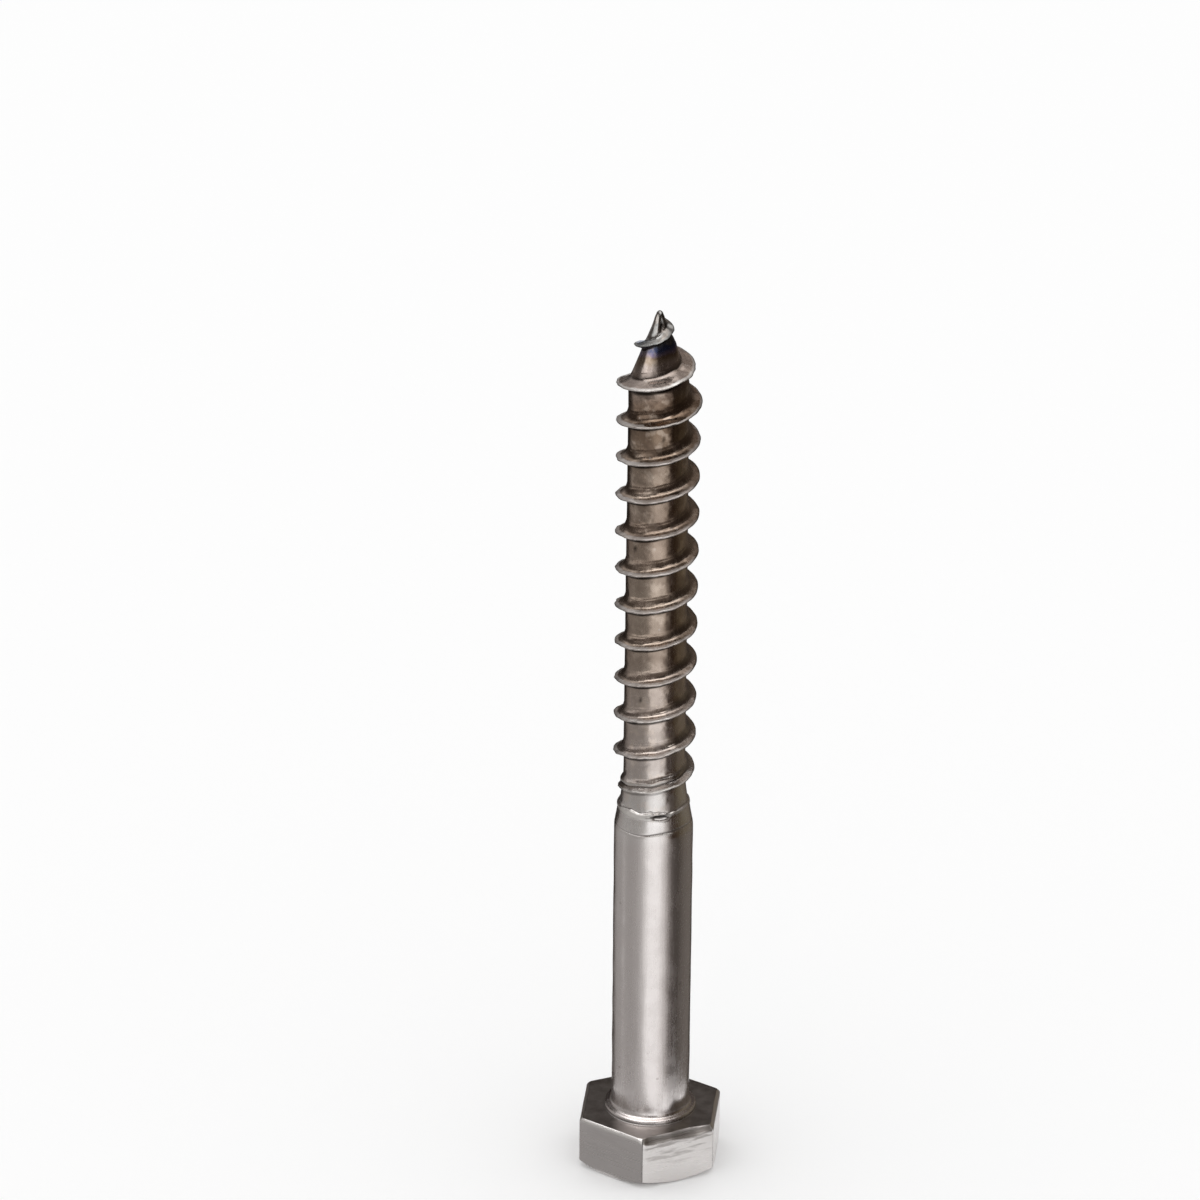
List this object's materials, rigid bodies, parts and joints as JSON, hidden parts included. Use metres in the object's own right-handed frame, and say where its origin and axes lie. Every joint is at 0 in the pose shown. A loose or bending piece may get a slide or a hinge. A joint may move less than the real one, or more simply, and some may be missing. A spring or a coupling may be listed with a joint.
{
  "type": "lag screw",
  "caption": "Hexagon-head lag screw with a plain shank, a coarse right-hand wood thread and a gimlet point, standing on its head.",
  "frame": {"origin": "centre of the head's flat end face, which the screw stands on", "axes": "+Z along the shank from the head to the tip; +X is square to a pair of head flats and +Y runs to a head corner"},
  "size_m": [0.017, 0.0194, 0.117],
  "materials": {
    "steel": "bare drawn and rolled steel, oiled, satin with fine scratches, heat-tinted at the point"
  },
  "bodies": {
    "root": {"lag_screw": "steel"}
  },
  "joints": []
}
